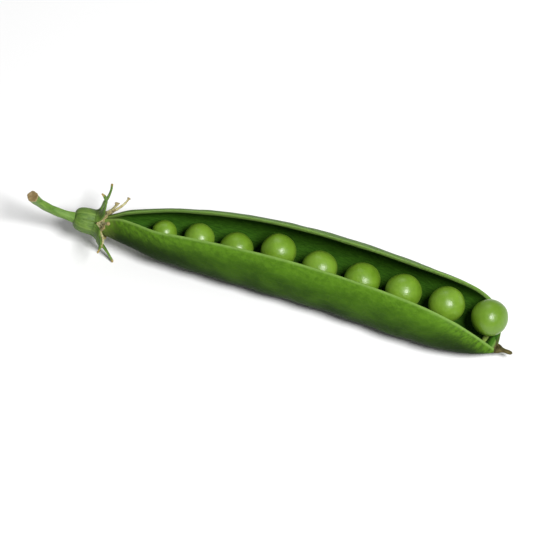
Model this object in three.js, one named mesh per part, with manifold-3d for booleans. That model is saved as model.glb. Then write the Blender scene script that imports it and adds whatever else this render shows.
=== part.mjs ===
// An opened garden pea pod. Two valves, still joined along the lower seam, stand apart like a boat's sides
// and hold a row of peas, each on its own short stalk. A withered stamen collar rings the pod's neck, a calyx
// with five sepals clasps its end, and a cut stem bends away behind.
// Millimetres, +Z up. The stem end points to -X and the tip to +X. The origin is on the flat spot that the
// pod rests on.

import * as THREE from "three";
import { mergeVertices } from "three/addons/utils/BufferGeometryUtils.js";
import Module from "manifold-3d";

const wasm = await Module();
wasm.setup();

const { clamp, degToRad, lerp, smoothstep } = THREE.MathUtils;

// Driving dimensions of the pod, where a share is a part of its length unless the note says otherwise
const POD_LENGTH = 94.8; // neck end to the root of the dry style
const POD_HEIGHT = 15.8; // lower seam to open edge, at the tallest station
const POD_HALF_WIDTH = 6.4; // one valve's bulge
const TALLEST = 0.6; // share where the pod is tallest
const WALL = 1.3;
const EDGE = 1; // depth of the split face along each open edge
const SLIT = 0.24; // gap left between the valves where they still meet
const NECK_X = -60;
const NECK_HEIGHT = 3.5;
const NECK_HALF_WIDTH = 1.75;
const TIP_HEIGHT = 1.7;
const TIP_HALF_WIDTH = 0.85;
const NECK_FLARE = 0.1; // share over which the neck widens into the pod
const STEM_TAPER = 2.5; // the higher, the blunter that end
const NEAR_TAPER = 5; // the same at the tip, for the near valve and for the far one
const FAR_TAPER = 3;
const FAR_ROUND = 0.4; // the lower, the rounder the far valve's end
const NECK_RISE = 7; // the seam lifts off the ground towards each end
const NECK_CURVE = 2.8;
const TIP_RISE = 2.6;
const TIP_CURVE = 3;
const SEAM_SINK = 0.1; // the seam's lowest stretch, pressed into the flat spot
const BOW = 5.2; // sideways bend of the whole pod, ends towards -Y
const NEAR_STEM = degToRad(18.5); // how far the near valve leans out, towards the stem and at the tip
const NEAR_TIP = degToRad(21);
const FAR_STEM = degToRad(12.5); // the same for the far valve
const FAR_TIP = degToRad(75);
const EDGE_LINE = 1.8; // 1 rounds a valve in to its open edge, 2 runs it there straight
const OPEN_CURVE = 12; // the higher, the nearer the tip the valves spring apart
const SPLIT_START = 0.03; // shares over which the split opens
const SPLIT_FULL = 0.2;
const SOLID_NECK = 0.09; // shares over which the cavity closes at each end
const SOLID_TIP = 0.035;
const FILLED = 0.9; // how far the cavity has filled up where it closes
const MOST_EDGE = 0.3; // shares of the local height or half width that the wall may take up
const MOST_FLOOR = 0.4;
const MOST_WALL = 0.4;

// Driving dimensions of the peas
const PEA_COUNT = 9;
const FIRST_PEA = 17.8; // distance from the neck end
const SMALLEST_PEA = 5.6; // diameters, stem end to tip
const LARGEST_PEA = 8.1;
const PEA_GROWTH = 4.6; // the higher, the sooner the peas reach full size
const PEA_SPACE = 1.27; // least gap between neighbours
const SPACE_STRAY = 0.4;
const PEA_ZIGZAG = 0.3; // the stalks leave the two halves of the seam by turns
const TIP_DRIFT = 3.3; // how far the last pea lies towards the far valve
const DRIFT_CURVE = 8;
const PEA_LIFT = 2.4; // how far a stalk holds its pea clear of the seam
const LAST_LIFT = 0.3; // the same at the tip
const LIFT_FADE = 6;
const LIFT_STRAY = 3;
const PEA_UNEVEN = 0.03; // share by which a pea is out of round
const PEA_BUMP = 0.25; // swelling of the wall beside each pea
const BUMP_REACH = 3.4;
const SEAT_STEP = 0.05;
const STALK_FOOT = 0.8; // radii
const STALK_HEAD = 0.6;
const GAP = 0.3; // clearance between pieces that only touch

// Driving dimensions of the dry style
const STYLE_LENGTH = 4;
const STYLE_ROOT = 2.4; // length inside the tip
const STYLE_RADIUS = 0.75;
const STYLE_POINT = 0.35;
const STYLE_HOOK = 0.8; // rise of its point

// Driving dimensions of the calyx and the stem
const CUP_LENGTH = 4.2;
const CUP_RADIUS = 2.85;
const CUP_WALL = 0.65;
const CUP_FLOOR = 0.95; // free depth under the neck's end
const NECK_IN_CUP = 2.2;
const SEPAL_COUNT = 5;
const SEPAL_LENGTH = 9;
const SEPAL_STRAY = 0.3; // spread of the lengths, as a share, and of the bends, in radians
const SEPAL_WIDTH = 2.9;
const SEPAL_POINT = 0.3;
const SEPAL_THICKNESS = 0.7;
const SEPAL_CHANNEL = 0.22; // how far its edges turn in, as a share of its half width
const SEPAL_ROOT = 1.4; // depth of a sepal's foot below the cup's rim
const LOW_SPLAY = 0.3; // how steeply a sepal leaves the cup, under the pod and on top of it
const HIGH_SPLAY = 0.65;
const LOW_CURL = 0.5; // how far its point bends back
const HIGH_CURL = 2.2;
const STEM_LENGTH = 13;
const STEM_RADIUS = 0.95;
const STEM_BEND = 6.5; // how far the cut end turns up
const STEM_DRIFT = 2; // and sideways
const STEM_FLARE = 0.3;

// Driving dimensions of the withered stamens
const COLLAR_START = 3.6; // from the neck end
const COLLAR_LENGTH = 2.4;
const COLLAR_WALL = 0.6;
const COLLAR_GAP = 0.5;
const FILAMENT_COUNT = 4;
const FILAMENT_LENGTH = 5;
const FILAMENT_STRAY = 0.5;
const FILAMENT_RADIUS = 0.4;
const FILAMENT_POINT = 0.32;

// Facets
const POD_STATIONS = 66;
const END_CROWDING = 0.6; // 0 spaces the stations evenly, 1 crowds them towards both ends
const VALVE_STEPS = 11;
const PEA_SIDES = 20;
const PEA_RINGS = 13;
const CUP_SIDES = 20;
const SEPAL_STEPS = 9;
const COLLAR_SIDES = 16;
const ROD_SIDES = 8;
const ROD_STEPS = 8;
const STEM_SIDES = 12;
const STEM_STEPS = 16;

// Seeds of the random draws
const SPACE_SEED = 41;
const LIFT_SEED = 2440470;
const ROUND_SEED = 100;
const SEPAL_SEED = 7;
const FILAMENT_SEED = 19;

const colour = (hex, roughness) => new THREE.MeshStandardMaterial({ color: hex, roughness, metalness: 0 });
const podSkin = colour(0x4c8a1e, 0.42);
const peaSkin = colour(0x84b43c, 0.3);
const sepalGreen = colour(0x5f8a2c, 0.55);
const stemGreen = colour(0x7fa648, 0.5);
const driedStraw = colour(0xb9b07c, 0.85);

const point = (x, y, z) => new THREE.Vector3(x, y, z);

// Even random numbers from 0 to 1 by the minimal standard generator
function seeded(seed) {
  const modulus = 2 ** 31 - 1;
  const multiplier = 16807;
  let state = seed;
  return () => {
    state = (state * multiplier) % modulus;
    return state / modulus;
  };
}

// Solid helpers
function toSolid(geometry) {
  const bare = geometry.clone();
  bare.deleteAttribute("normal");
  bare.deleteAttribute("uv");
  const merged = mergeVertices(bare);
  return new wasm.Manifold(
    new wasm.Mesh({
      numProp: 3,
      vertProperties: merged.getAttribute("position").array,
      triVerts: new Uint32Array(merged.index.array),
    }),
  );
}

function toMesh(solid, material, name) {
  const { vertProperties, triVerts } = solid.getMesh();
  const geometry = new THREE.BufferGeometry();
  geometry.setAttribute("position", new THREE.BufferAttribute(vertProperties, 3));
  geometry.setIndex(new THREE.BufferAttribute(triVerts, 1));
  const mesh = new THREE.Mesh(geometry, material);
  mesh.name = name;
  return mesh;
}

// Joins rings of points, each turning left about the way they follow on, into a closed skin
function loft(rings) {
  const size = rings[0].length;
  const points = rings.flat();
  const index = [];
  const at = (ring, k) => ring * size + (k % size);
  for (let ring = 0; ring + 1 < rings.length; ring++) {
    for (let k = 0; k < size; k++) {
      index.push(at(ring, k), at(ring, k + 1), at(ring + 1, k));
      index.push(at(ring, k + 1), at(ring + 1, k + 1), at(ring + 1, k));
    }
  }
  for (const ring of [0, rings.length - 1]) {
    const centre = point(0, 0, 0);
    rings[ring].forEach((p) => centre.addScaledVector(p, 1 / size));
    points.push(centre);
    const hub = points.length - 1;
    for (let k = 0; k < size; k++) {
      const [here, next] = [at(ring, k), at(ring, k + 1)];
      index.push(hub, ...(ring === 0 ? [next, here] : [here, next]));
    }
  }
  return new THREE.BufferGeometry().setFromPoints(points).setIndex(index);
}

// A round rod along a curve, its radius given by a function of the share of the curve's length
function rod(curve, radiusAt, sides = ROD_SIDES, steps = ROD_STEPS) {
  const frames = curve.computeFrenetFrames(steps);
  const rings = [];
  for (let i = 0; i <= steps; i++) {
    const share = i / steps;
    const ring = [];
    for (let k = 0; k < sides; k++) {
      const turn = (2 * Math.PI * k) / sides;
      const out = frames.normals[i].clone().multiplyScalar(Math.cos(turn));
      out.addScaledVector(frames.binormals[i], Math.sin(turn));
      ring.push(curve.getPointAt(share).addScaledVector(out, radiusAt(share)));
    }
    rings.push(ring);
  }
  return loft(rings);
}

const tapered = (from, to) => (share) => lerp(from, to, share);

// The row of peas along the pod, each with its place u as a share of the length, its size and its offsets
function peaRow() {
  const space = seeded(SPACE_SEED);
  const stray = seeded(LIFT_SEED);
  const row = [];
  let along = FIRST_PEA;
  for (let i = 0; i < PEA_COUNT; i++) {
    const share = i / (PEA_COUNT - 1);
    const radius = lerp(LARGEST_PEA, SMALLEST_PEA, (1 - share) ** PEA_GROWTH) / 2;
    if (i > 0) along += row[i - 1].radius + radius + PEA_SPACE * (1 + SPACE_STRAY * space());
    const lift = lerp(PEA_LIFT, LAST_LIFT, share ** LIFT_FADE) + LIFT_STRAY * (stray() - 1 / 2);
    const aside = TIP_DRIFT * share ** DRIFT_CURVE + PEA_ZIGZAG * (i % 2 ? 1 : -1);
    row.push({ radius, lift, aside, u: along / POD_LENGTH });
  }
  return row;
}

const row = peaRow();

// The pod's form, each as a function of the share u of its length and of the side, which is -1 for the near
// valve and 1 for the far one
const podX = (u) => NECK_X + POD_LENGTH * u;
const stemShare = (u) => clamp(u / TALLEST, 0, 1);
const tipShare = (u) => clamp((1 - u) / (1 - TALLEST), 0, 1);

function fullness(u, side) {
  if (u < TALLEST) return (1 - (1 - stemShare(u)) ** STEM_TAPER) * smoothstep(u, 0, NECK_FLARE);
  if (side < 0) return 1 - (1 - tipShare(u)) ** NEAR_TAPER;
  return (1 - (1 - tipShare(u)) ** FAR_TAPER) ** FAR_ROUND;
}

const height = (u, side) => lerp(u < TALLEST ? NECK_HEIGHT : TIP_HEIGHT, POD_HEIGHT, fullness(u, side));

function halfWidth(u, side) {
  const plain = lerp(u < TALLEST ? NECK_HALF_WIDTH : TIP_HALF_WIDTH, POD_HALF_WIDTH, fullness(u, side));
  const swell = row.map((pea) => Math.exp(-((((u - pea.u) * POD_LENGTH) / BUMP_REACH) ** 2)));
  return plain + PEA_BUMP * fullness(u, side) * swell.reduce((sum, one) => sum + one);
}

function seam(u) {
  const rise = NECK_RISE * (1 - stemShare(u)) ** NECK_CURVE + TIP_RISE * (1 - tipShare(u)) ** TIP_CURVE;
  return point(podX(u), -BOW * (podX(u) / (POD_LENGTH / 2)) ** 2, rise - SEAM_SINK);
}

function lean(u, side) {
  const [stem, tip] = side < 0 ? [NEAR_STEM, NEAR_TIP] : [FAR_STEM, FAR_TIP];
  return lerp(stem, tip, u ** OPEN_CURVE) * smoothstep(u, SPLIT_START, SPLIT_FULL);
}

const solidity = (u) => FILLED * Math.max(1 - smoothstep(u, 0, SOLID_NECK), smoothstep(u, 1 - SOLID_TIP, 1));

// One point of the wall: turn runs from 0 at the seam to pi at the open edge. The valve is a half ellipse,
// turned outwards about the seam.
function wallPoint(u, side, turn, inside) {
  let floor = 0;
  let top = height(u, side);
  let bulge = halfWidth(u, side);
  if (inside) {
    floor = Math.min(WALL, MOST_FLOOR * top);
    top -= Math.min(EDGE, MOST_EDGE * top);
    floor = lerp(floor, top, solidity(u));
    bulge = (bulge - Math.min(WALL, MOST_WALL * bulge)) * (1 - solidity(u));
  }
  const share = (1 - Math.cos(turn)) / 2;
  const curve = Math.sin(turn) ** (turn > Math.PI / 2 ? EDGE_LINE : 1);
  const across = bulge * curve + (SLIT / 2) * share;
  const up = lerp(floor, top, share);
  const angle = lean(u, side);
  const out = across * Math.cos(angle) + up * Math.sin(angle);
  const rise = up * Math.cos(angle) - across * Math.sin(angle);
  return seam(u).add(point(0, side * out, rise));
}

// The outline across the pod: the outside from the near edge round to the far edge, and back along the inside
function podRing(u) {
  const turns = Array.from({ length: 2 * VALVE_STEPS + 1 }, (_, k) => Math.PI * (k / VALVE_STEPS - 1));
  const outside = turns.map((turn) => wallPoint(u, Math.sign(turn), Math.abs(turn), false));
  const inside = turns.map((turn) => wallPoint(u, Math.sign(turn), Math.abs(turn), true));
  return [...outside, ...inside.reverse()];
}

function station(share) {
  return lerp(share, (1 - Math.cos(Math.PI * share)) / 2, END_CROWDING);
}

const podRings = Array.from({ length: POD_STATIONS + 1 }, (_, i) => podRing(station(i / POD_STATIONS)));

// A pea sinks between the valves until it would touch one of them, and is then held up by its stalk
function seatPea({ radius, lift, aside, u }) {
  const centre = seam(u).add(point(0, aside, 0));
  const clear = radius + GAP;
  const around = podRings.flat().filter((p) => Math.abs(p.x - centre.x) < clear);
  while (around.some((p) => p.distanceTo(centre) < clear)) centre.z += SEAT_STEP;
  centre.z += lift;
  return centre;
}

const seats = row.map(seatPea);

function makePea({ radius }, i) {
  const random = seeded(ROUND_SEED + i);
  const pea = new THREE.Mesh(new THREE.SphereGeometry(radius, PEA_SIDES, PEA_RINGS), peaSkin);
  pea.name = `pea_${i + 1}`;
  pea.scale.set(1 - PEA_UNEVEN * random(), 1 - PEA_UNEVEN * random(), 1 - PEA_UNEVEN * random());
  pea.position.copy(seats[i]);
  return pea;
}

// The short stalk that carries a pea, from inside the seam's wall to just under the pea
function peaStalk({ radius, u }, i) {
  const foot = seam(u).add(point(0, 0, WALL / 2));
  const head = seats[i].clone().add(point(0, 0, -radius - GAP));
  const bend = point(head.x, head.y, (foot.z + head.z) / 2);
  return rod(new THREE.QuadraticBezierCurve3(foot, bend, head), tapered(STALK_FOOT, STALK_HEAD));
}

// The dry point that the flower's style leaves on the pod's tip
function styleRemnant() {
  const start = seam(1 - STYLE_ROOT / POD_LENGTH).add(point(0, 0, TIP_HEIGHT / 2));
  const bend = seam(1).add(point(STYLE_LENGTH / 2, 0, TIP_HEIGHT / 2));
  const end = seam(1).add(point(STYLE_LENGTH, 0, STYLE_HOOK));
  return rod(new THREE.QuadraticBezierCurve3(start, bend, end), tapered(STYLE_RADIUS, STYLE_POINT));
}

function makePodShell() {
  let solid = toSolid(loft(podRings)).add(toSolid(styleRemnant()));
  row.forEach((pea, i) => {
    solid = solid.add(toSolid(peaStalk(pea, i)));
  });
  const ground = new THREE.BoxGeometry(2 * POD_LENGTH, POD_LENGTH, POD_HEIGHT);
  ground.translate(0, 0, -POD_HEIGHT / 2);
  return toMesh(solid.subtract(toSolid(ground)), podSkin, "pod_shell");
}

// The stem end is built along its own axis, +Z towards the pod and +X downwards, and then laid along the neck
const neckMiddle = (u) => seam(u).add(point(0, 0, height(u, 1) / 2));
const forward = neckMiddle(NECK_IN_CUP / POD_LENGTH).sub(neckMiddle(0)).normalize();
const sideways = point(0, 0, 1).cross(forward).normalize();
const down = sideways.clone().cross(forward);
const stemEnd = new THREE.Group();
stemEnd.quaternion.setFromRotationMatrix(new THREE.Matrix4().makeBasis(down, sideways, forward));
stemEnd.position.copy(neckMiddle(0));

// The cup's outside swells from the stem like a bell, and its inside is a plain round socket
function calyxCup() {
  const base = NECK_IN_CUP - CUP_LENGTH;
  const bell = new THREE.CubicBezierCurve(
    new THREE.Vector2(STEM_RADIUS, base),
    new THREE.Vector2(CUP_RADIUS, base),
    new THREE.Vector2(CUP_RADIUS, base + CUP_LENGTH / 2),
    new THREE.Vector2(CUP_RADIUS, NECK_IN_CUP),
  );
  const inner = CUP_RADIUS - CUP_WALL;
  const profile = [
    new THREE.Vector2(0, base),
    ...bell.getPoints(ROD_STEPS),
    new THREE.Vector2(inner, NECK_IN_CUP),
    new THREE.Vector2(inner, -CUP_FLOOR),
    new THREE.Vector2(0, -CUP_FLOOR),
  ];
  return new THREE.LatheGeometry(profile, CUP_SIDES).rotateX(Math.PI / 2);
}

// A sepal is a thin pointed blade with upturned edges, that leaves the cup's rim and bends back outwards
function sepal(azimuth, length, splay, curl) {
  const outline = [[-1, 0], [-0.5, 1], [0, 1], [0.5, 1], [1, 0], [0.5, -1], [0, -1], [-0.5, -1]];
  const rings = [];
  let reach = CUP_RADIUS - CUP_WALL / 2;
  let along = NECK_IN_CUP - SEPAL_ROOT;
  for (let i = 0; i <= SEPAL_STEPS; i++) {
    const share = i / SEPAL_STEPS;
    const angle = lerp(splay, curl, share);
    const half = lerp(SEPAL_WIDTH, SEPAL_POINT, share * share) / 2;
    rings.push(
      outline.map(([edge, face]) => {
        const lifted = (SEPAL_THICKNESS / 2) * face - SEPAL_CHANNEL * half * edge * edge;
        return point(reach + lifted * Math.cos(angle), edge * half, along - lifted * Math.sin(angle));
      }),
    );
    reach += (length / SEPAL_STEPS) * Math.sin(angle);
    along += (length / SEPAL_STEPS) * Math.cos(angle);
  }
  return loft(rings).rotateZ(azimuth);
}

function makeCalyx() {
  const random = seeded(SEPAL_SEED);
  let solid = toSolid(calyxCup());
  for (let i = 0; i < SEPAL_COUNT; i++) {
    const azimuth = (2 * Math.PI * (i + 1 / 2)) / SEPAL_COUNT;
    const high = (1 - Math.cos(azimuth)) / 2;
    const length = SEPAL_LENGTH * (1 + SEPAL_STRAY * (random() - 1 / 2));
    const curl = lerp(LOW_CURL, HIGH_CURL, high) + SEPAL_STRAY * random();
    solid = solid.add(toSolid(sepal(azimuth, length, lerp(LOW_SPLAY, HIGH_SPLAY, high), curl)));
  }
  return toMesh(solid, sepalGreen, "calyx");
}

function makeStem() {
  const base = NECK_IN_CUP - CUP_LENGTH - GAP;
  const curve = new THREE.CubicBezierCurve3(
    point(0, 0, base),
    point(0, 0, base - STEM_LENGTH / 3),
    point(-STEM_BEND / 4, 0, base - STEM_LENGTH * (2 / 3)),
    point(-STEM_BEND, -STEM_DRIFT, base - STEM_LENGTH * (4 / 5)),
  );
  const radiusAt = (share) => STEM_RADIUS * (1 + STEM_FLARE * (2 * share - 1) ** 4);
  const stem = new THREE.Mesh(rod(curve, radiusAt, STEM_SIDES, STEM_STEPS), stemGreen);
  stem.name = "stem";
  return stem;
}

// The withered stamens: a papery ring round the neck, with loose filaments that stray over the pod's shoulder
function collarPoint(u, offset, turn) {
  const across = (halfWidth(u, 1) + offset) * Math.cos(turn);
  const up = (height(u, 1) / 2 + offset) * Math.sin(turn);
  return neckMiddle(u).add(point(0, across, up));
}

function collarSkin(from, to, offset) {
  const turns = Array.from({ length: COLLAR_SIDES }, (_, k) => (2 * Math.PI * k) / COLLAR_SIDES);
  const places = [from, (from + to) / 2, to].map((along) => along / POD_LENGTH);
  return toSolid(loft(places.map((u) => turns.map((turn) => collarPoint(u, offset, turn)))));
}

function makeStamens() {
  const random = seeded(FILAMENT_SEED);
  const end = COLLAR_START + COLLAR_LENGTH;
  const bore = collarSkin(COLLAR_START - GAP, end + GAP, COLLAR_GAP);
  let solid = collarSkin(COLLAR_START, end, COLLAR_GAP + COLLAR_WALL).subtract(bore);
  for (let i = 0; i < FILAMENT_COUNT; i++) {
    const turn = (Math.PI * (i + 1 / 4 + random() / 2)) / FILAMENT_COUNT;
    const length = FILAMENT_LENGTH * (1 + FILAMENT_STRAY * (random() - 1 / 2));
    const away = point(0, Math.cos(turn), Math.sin(turn)).multiplyScalar(length);
    const root = collarPoint((end - FILAMENT_RADIUS) / POD_LENGTH, COLLAR_GAP + COLLAR_WALL / 2, turn);
    const bend = root.clone().add(point(length / 2, 0, 0)).addScaledVector(away, 1 / 2);
    const tip = bend.clone().addScaledVector(away, (1 + random()) / 3);
    const strand = new THREE.QuadraticBezierCurve3(root, bend, tip);
    solid = solid.add(toSolid(rod(strand, tapered(FILAMENT_RADIUS, FILAMENT_POINT))));
  }
  return toMesh(solid, driedStraw, "stamen_remnant");
}

stemEnd.add(makeCalyx(), makeStem());
const pod = new THREE.Group();
pod.name = "pea_pod";
pod.add(makePodShell(), ...row.map(makePea), stemEnd, makeStamens());

export default pod;
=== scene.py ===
import math

import bmesh
import bpy
import numpy as np
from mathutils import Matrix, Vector, noise


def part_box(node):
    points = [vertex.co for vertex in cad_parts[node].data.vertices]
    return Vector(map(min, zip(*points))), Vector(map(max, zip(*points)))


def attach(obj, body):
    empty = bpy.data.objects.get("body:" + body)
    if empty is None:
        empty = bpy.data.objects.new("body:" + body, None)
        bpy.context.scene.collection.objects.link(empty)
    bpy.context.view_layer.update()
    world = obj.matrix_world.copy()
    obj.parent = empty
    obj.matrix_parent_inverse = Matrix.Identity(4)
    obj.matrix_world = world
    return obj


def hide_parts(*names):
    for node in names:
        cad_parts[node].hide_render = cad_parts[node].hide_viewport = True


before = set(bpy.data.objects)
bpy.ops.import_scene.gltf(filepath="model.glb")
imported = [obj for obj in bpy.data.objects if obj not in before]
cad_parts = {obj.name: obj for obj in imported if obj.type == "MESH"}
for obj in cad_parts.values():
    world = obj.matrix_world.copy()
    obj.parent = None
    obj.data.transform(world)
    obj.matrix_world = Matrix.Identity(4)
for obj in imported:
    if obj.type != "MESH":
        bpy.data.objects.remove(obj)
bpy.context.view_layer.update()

# An opened garden pea pod: its shell of two valves, the peas, the calyx, the cut stem and the dry stamens.
# Lengths are in millimetres unless a note says otherwise, and the pieces are made in metres. A share runs
# from 0 to 1 along something, and u is the share of the pod's length from its neck to its tip. A side is
# -1 for the near valve and 1 for the far one.
MM = 0.001
GAP = 0.3  # between touching pieces

# The pod, as its solid has it
POD_LENGTH = 94.8  # neck end to the root of the dry style
POD_HEIGHT = 15.8  # lower seam to open edge, where the pod is tallest
POD_HALF_WIDTH = 6.4  # one valve's bulge
TALLEST = 0.6  # share
WALL = 1.3
EDGE = 1  # depth of the split face along each open edge
SLIT = 0.24  # gap left between the valves where they still meet
NECK_X = -60
NECK_HEIGHT = 3.5
NECK_HALF_WIDTH = 1.75
TIP_HEIGHT = 1.7
TIP_HALF_WIDTH = 0.85
NECK_FLARE = 0.1  # share over which the neck widens into the pod
STEM_TAPER = 2.5  # the higher, the blunter that end
NEAR_TAPER = 5  # the same at the tip, for the near valve and for the far one
FAR_TAPER = 3
FAR_ROUND = 0.4  # the lower, the rounder the far valve's end
NECK_RISE = 7  # the seam lifts off the ground towards each end
NECK_CURVE = 2.8
TIP_RISE = 2.6
TIP_CURVE = 3
SEAM_SINK = 0.1  # the seam's lowest stretch, pressed into the flat spot
BOW = 5.2  # sideways bend of the whole pod
NEAR_STEM = math.radians(18.5)  # how far the near valve leans out, towards the stem and at the tip
NEAR_TIP = math.radians(21)
FAR_STEM = math.radians(12.5)  # the same for the far valve
FAR_TIP = math.radians(75)
EDGE_LINE = 1.8  # 1 rounds a valve in to its open edge, 2 runs it there straight
OPEN_CURVE = 12  # the higher, the nearer the tip the valves spring apart
SPLIT_START = 0.03  # shares over which the split opens
SPLIT_FULL = 0.2
SOLID_NECK = 0.09  # shares over which the cavity closes at each end
SOLID_TIP = 0.035
FILLED = 0.9  # how far the cavity has filled up where it closes
MOST_EDGE = 0.3  # shares of the local height or half width that the wall may take up
MOST_FLOOR = 0.4
MOST_WALL = 0.4
PEA_BUMP = 0.25  # swelling of the wall beside each pea
BUMP_REACH = 3.4
STALK_FOOT = 0.8  # radii
STALK_HEAD = 0.6
STYLE_LENGTH = 4
STYLE_RADIUS = 0.75
STYLE_POINT = 0.35
STYLE_HOOK = 0.8  # rise of its point

# The stem end and the withered stamens, as their solids have them
CUP_LENGTH = 4.2
CUP_RADIUS = 2.85
CUP_WALL = 0.65
NECK_IN_CUP = 2.2
SEPAL_COUNT = 5
SEPAL_LENGTH = 9
SEPAL_STRAY = 0.3  # spread of the lengths, as a share, and of the bends, in radians
SEPAL_WIDTH = 2.9
SEPAL_POINT = 0.3
SEPAL_CHANNEL = 0.22  # how far its edges turn in, as a share of its half width
SEPAL_ROOT = 1.4  # depth of a sepal's foot below the cup's rim
LOW_SPLAY = 0.3  # how steeply a sepal leaves the cup, under the pod and on top of it
HIGH_SPLAY = 0.65
LOW_CURL = 0.5  # how far its point bends back
HIGH_CURL = 2.2
SEPAL_SEED = 7
STEM_LENGTH = 13
STEM_RADIUS = 0.95
STEM_BEND = 6.5  # how far the cut end turns up
STEM_DRIFT = 2  # and sideways
STEM_FLARE = 0.3
COLLAR_START = 3.6  # from the neck end
COLLAR_LENGTH = 2.4
COLLAR_WALL = 0.6
COLLAR_GAP = 0.5
FILAMENT_COUNT = 4
FILAMENT_LENGTH = 5
FILAMENT_STRAY = 0.5
FILAMENT_RADIUS = 0.4
FILAMENT_SEED = 19

# Steps of the meshes
POD_STEPS = 330
END_CROWDING = 0.6  # 0 spaces the pod's steps evenly, 1 crowds them towards both ends
OUTER_STEPS = 64  # up a valve's outside, over its open edge and down its inside
RIM_STEPS = 6
INNER_STEPS = 42
STALK_STEPS = 11
STALK_SIDES = 14
STYLE_STEPS = 36
PEA_SPLITS = 5
CUP_STEPS = 12
SEPAL_STEPS = 26
SEPAL_COLUMNS = 10
STEM_STEPS = 89
STEM_SIDES = 40
COLLAR_STEPS = 14
COLLAR_SIDES = 90
FILAMENT_STEPS = 39
FILAMENT_SIDES = 12

# Relief of the pod's skin: heights, sizes and widths, with places counted from the open edge or the seam
RIM_PASSES = 14  # of smoothing over the two corners of an open edge
RIM_REACH = 1.1
CALM_NECK = 0.02, 0.14  # shares over which the relief sets in and fades out again
CALM_TIP = 0.93, 0.995
LUMP = 0.13
LUMP_SIZE = 8
LUMP_SQUEEZE = np.array((1, 1.2, 1))
RIPPLE = 0.35  # of a lump
RIPPLE_SIZE = 2.6
LINING_LUMP = 0.5  # of a lump outside
VEIN = 0.03
VEIN_CELL = np.array((4.6, 2.1, 1))
VEIN_SLANT = 0.8  # how far the net leans along the pod for each mm up its side
VEIN_WIDTH = 0.13  # of a cell
VEIN_MARGIN = 1.5
BEAD = 0.08
BEAD_PLACE = 0.5
BEAD_WIDTH = 0.6
SUTURE = 0.22
SUTURE_WIDTH = 0.5
GROOVE = 0.6  # beside the suture, as a share of it
GROOVE_PLACE = 1.2
PLACENTA = 0.3
PLACENTA_WIDTH = 0.9
STALK_DIP = 0.05  # of a stalk's head into its pea's scar
STYLE_ARCH = 0.1
STYLE_KNOT = 0.12  # unevenness of the style, as shares of its radius
STYLE_KNOT_TURN = 9  # radians from root to point
STYLE_FLUTE = 0.08
STYLE_FLUTES = 3
STYLE_FLUTE_TURN = 0.4  # radians
STYLE_BLUNT = 16  # the higher, the later its point rounds off
STYLE_LEAST = 0.05
STYLE_BLEND = 0.45  # share over which the tip's outline turns round

# Regions of the pod's colour
SIDE_APART = 30  # keeps the patterns of the valves and of their linings apart
LINING_APART = 12
FAR_RIM = 1.1  # widths of the pale open edges outside, and inside
NEAR_RIM = 0.75
INNER_RIM = 0.4
LIT_BAND = 0.24  # painted light: a lighter band below an open edge, strength beside the edge's own, and width
LIT_BAND_WIDTH = 3.6
DRY_START = 0.992  # share
DRY_WIDTH = 1.6
STALK_PALE = 0.6
# Distances from the seam, or along the pod, at which a colour starts to fade and is gone
SUTURE_PALE = 0.3, 1.1
# painted shade: the valves turn deep green towards the seam, fading out between these distances
BELLY_SHADE = 11.0, 23.5
NECK_PALE = 5.0, 12.0
BORDER_STRAY = 5.0  # how far the borders of the painted shade low on the valves and of the pale neck wander

# Detail of the peas, as shares of their radius, with widths in radians
PEA_SEED = 300
PEA_SEED_STEP = 7
PEA_APART = 40  # keeps the patterns of the peas apart
PEA_UNEVEN = 0.03
PEA_UNEVEN_SIZE = 0.9
PEA_GRAIN = 0.006
PEA_GRAIN_SIZE = 0.3
DENT = 0.035
DENT_WIDTH = 0.45
DENT_LOWEST = -0.2  # height of its middle on the pea, and the span of the heights above it
DENT_SPAN = 0.9
SCAR_WAY = 0.12, 0.1, -1.0  # from the pea's middle
SCAR = 0.05
SCAR_WIDTH = 0.16
SCAR_LIP = 0.02
SCAR_LIP_PLACE = 0.3
SCAR_LIP_WIDTH = 0.1
BARE_SHADE = 0.9, 0.97  # painted shade: shares of the pod's length over which the peas come to stand clear of the pod and turn a deeper green

# Detail of the calyx
CUP_RIB = 0.05  # of the cup's radius
CUP_RIB_SHARP = 4
CUP_RIB_RISE = 0.2, 0.9  # shares of the cup's length
CUP_SKIN = 0.6  # half of a sepal's share of the way round the cup, in radii
SEPAL_SLENDER = 1.6  # the higher, the later a sepal narrows
MIDRIB = 0.12
MIDRIB_WIDTH = 0.14  # of the half width
WAVE = 0.14
WAVE_TURN = 7  # radians from foot to point, and from one sepal to the next
WAVE_SHIFT = 2
WAVE_START = 0.1, 0.5
FOOT_OUT = 0.2  # how a sepal's foot carries the cup on: outwards, narrowing and along
FOOT_NARROW = 0.6
FOOT_ALONG = 0.9
FOOT_END = 0.35
SEPAL_APART = 9  # keeps the patterns of the sepals apart
SEPAL_WITHERED = 0.8  # share from which its point is brown
SEPAL_SHEET = 0.45  # thickness

# Detail of the stem, as shares of its radius
STEM_RIB = 0.055
STEM_RIBS = 5
STEM_TWIST = 1.2  # radians
STEM_FINE_RIB = 0.02
STEM_FINE_RIBS = 11
STEM_FINE_TURN = 0.7  # radians
STEM_WAVER = 0.03
STEM_WAVER_TURN = 23  # radians from end to end
STEM_WAVER_START = 1
STEM_DRY = 0.9  # share of its length
CUT_RINGS = (0.93, 0.07), (0.78, 0.03), (0.48, -0.14), (0.2, -0.2)  # size, and height in mm
CUT_SKIN = 0.1  # step of the pattern from ring to ring

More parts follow.
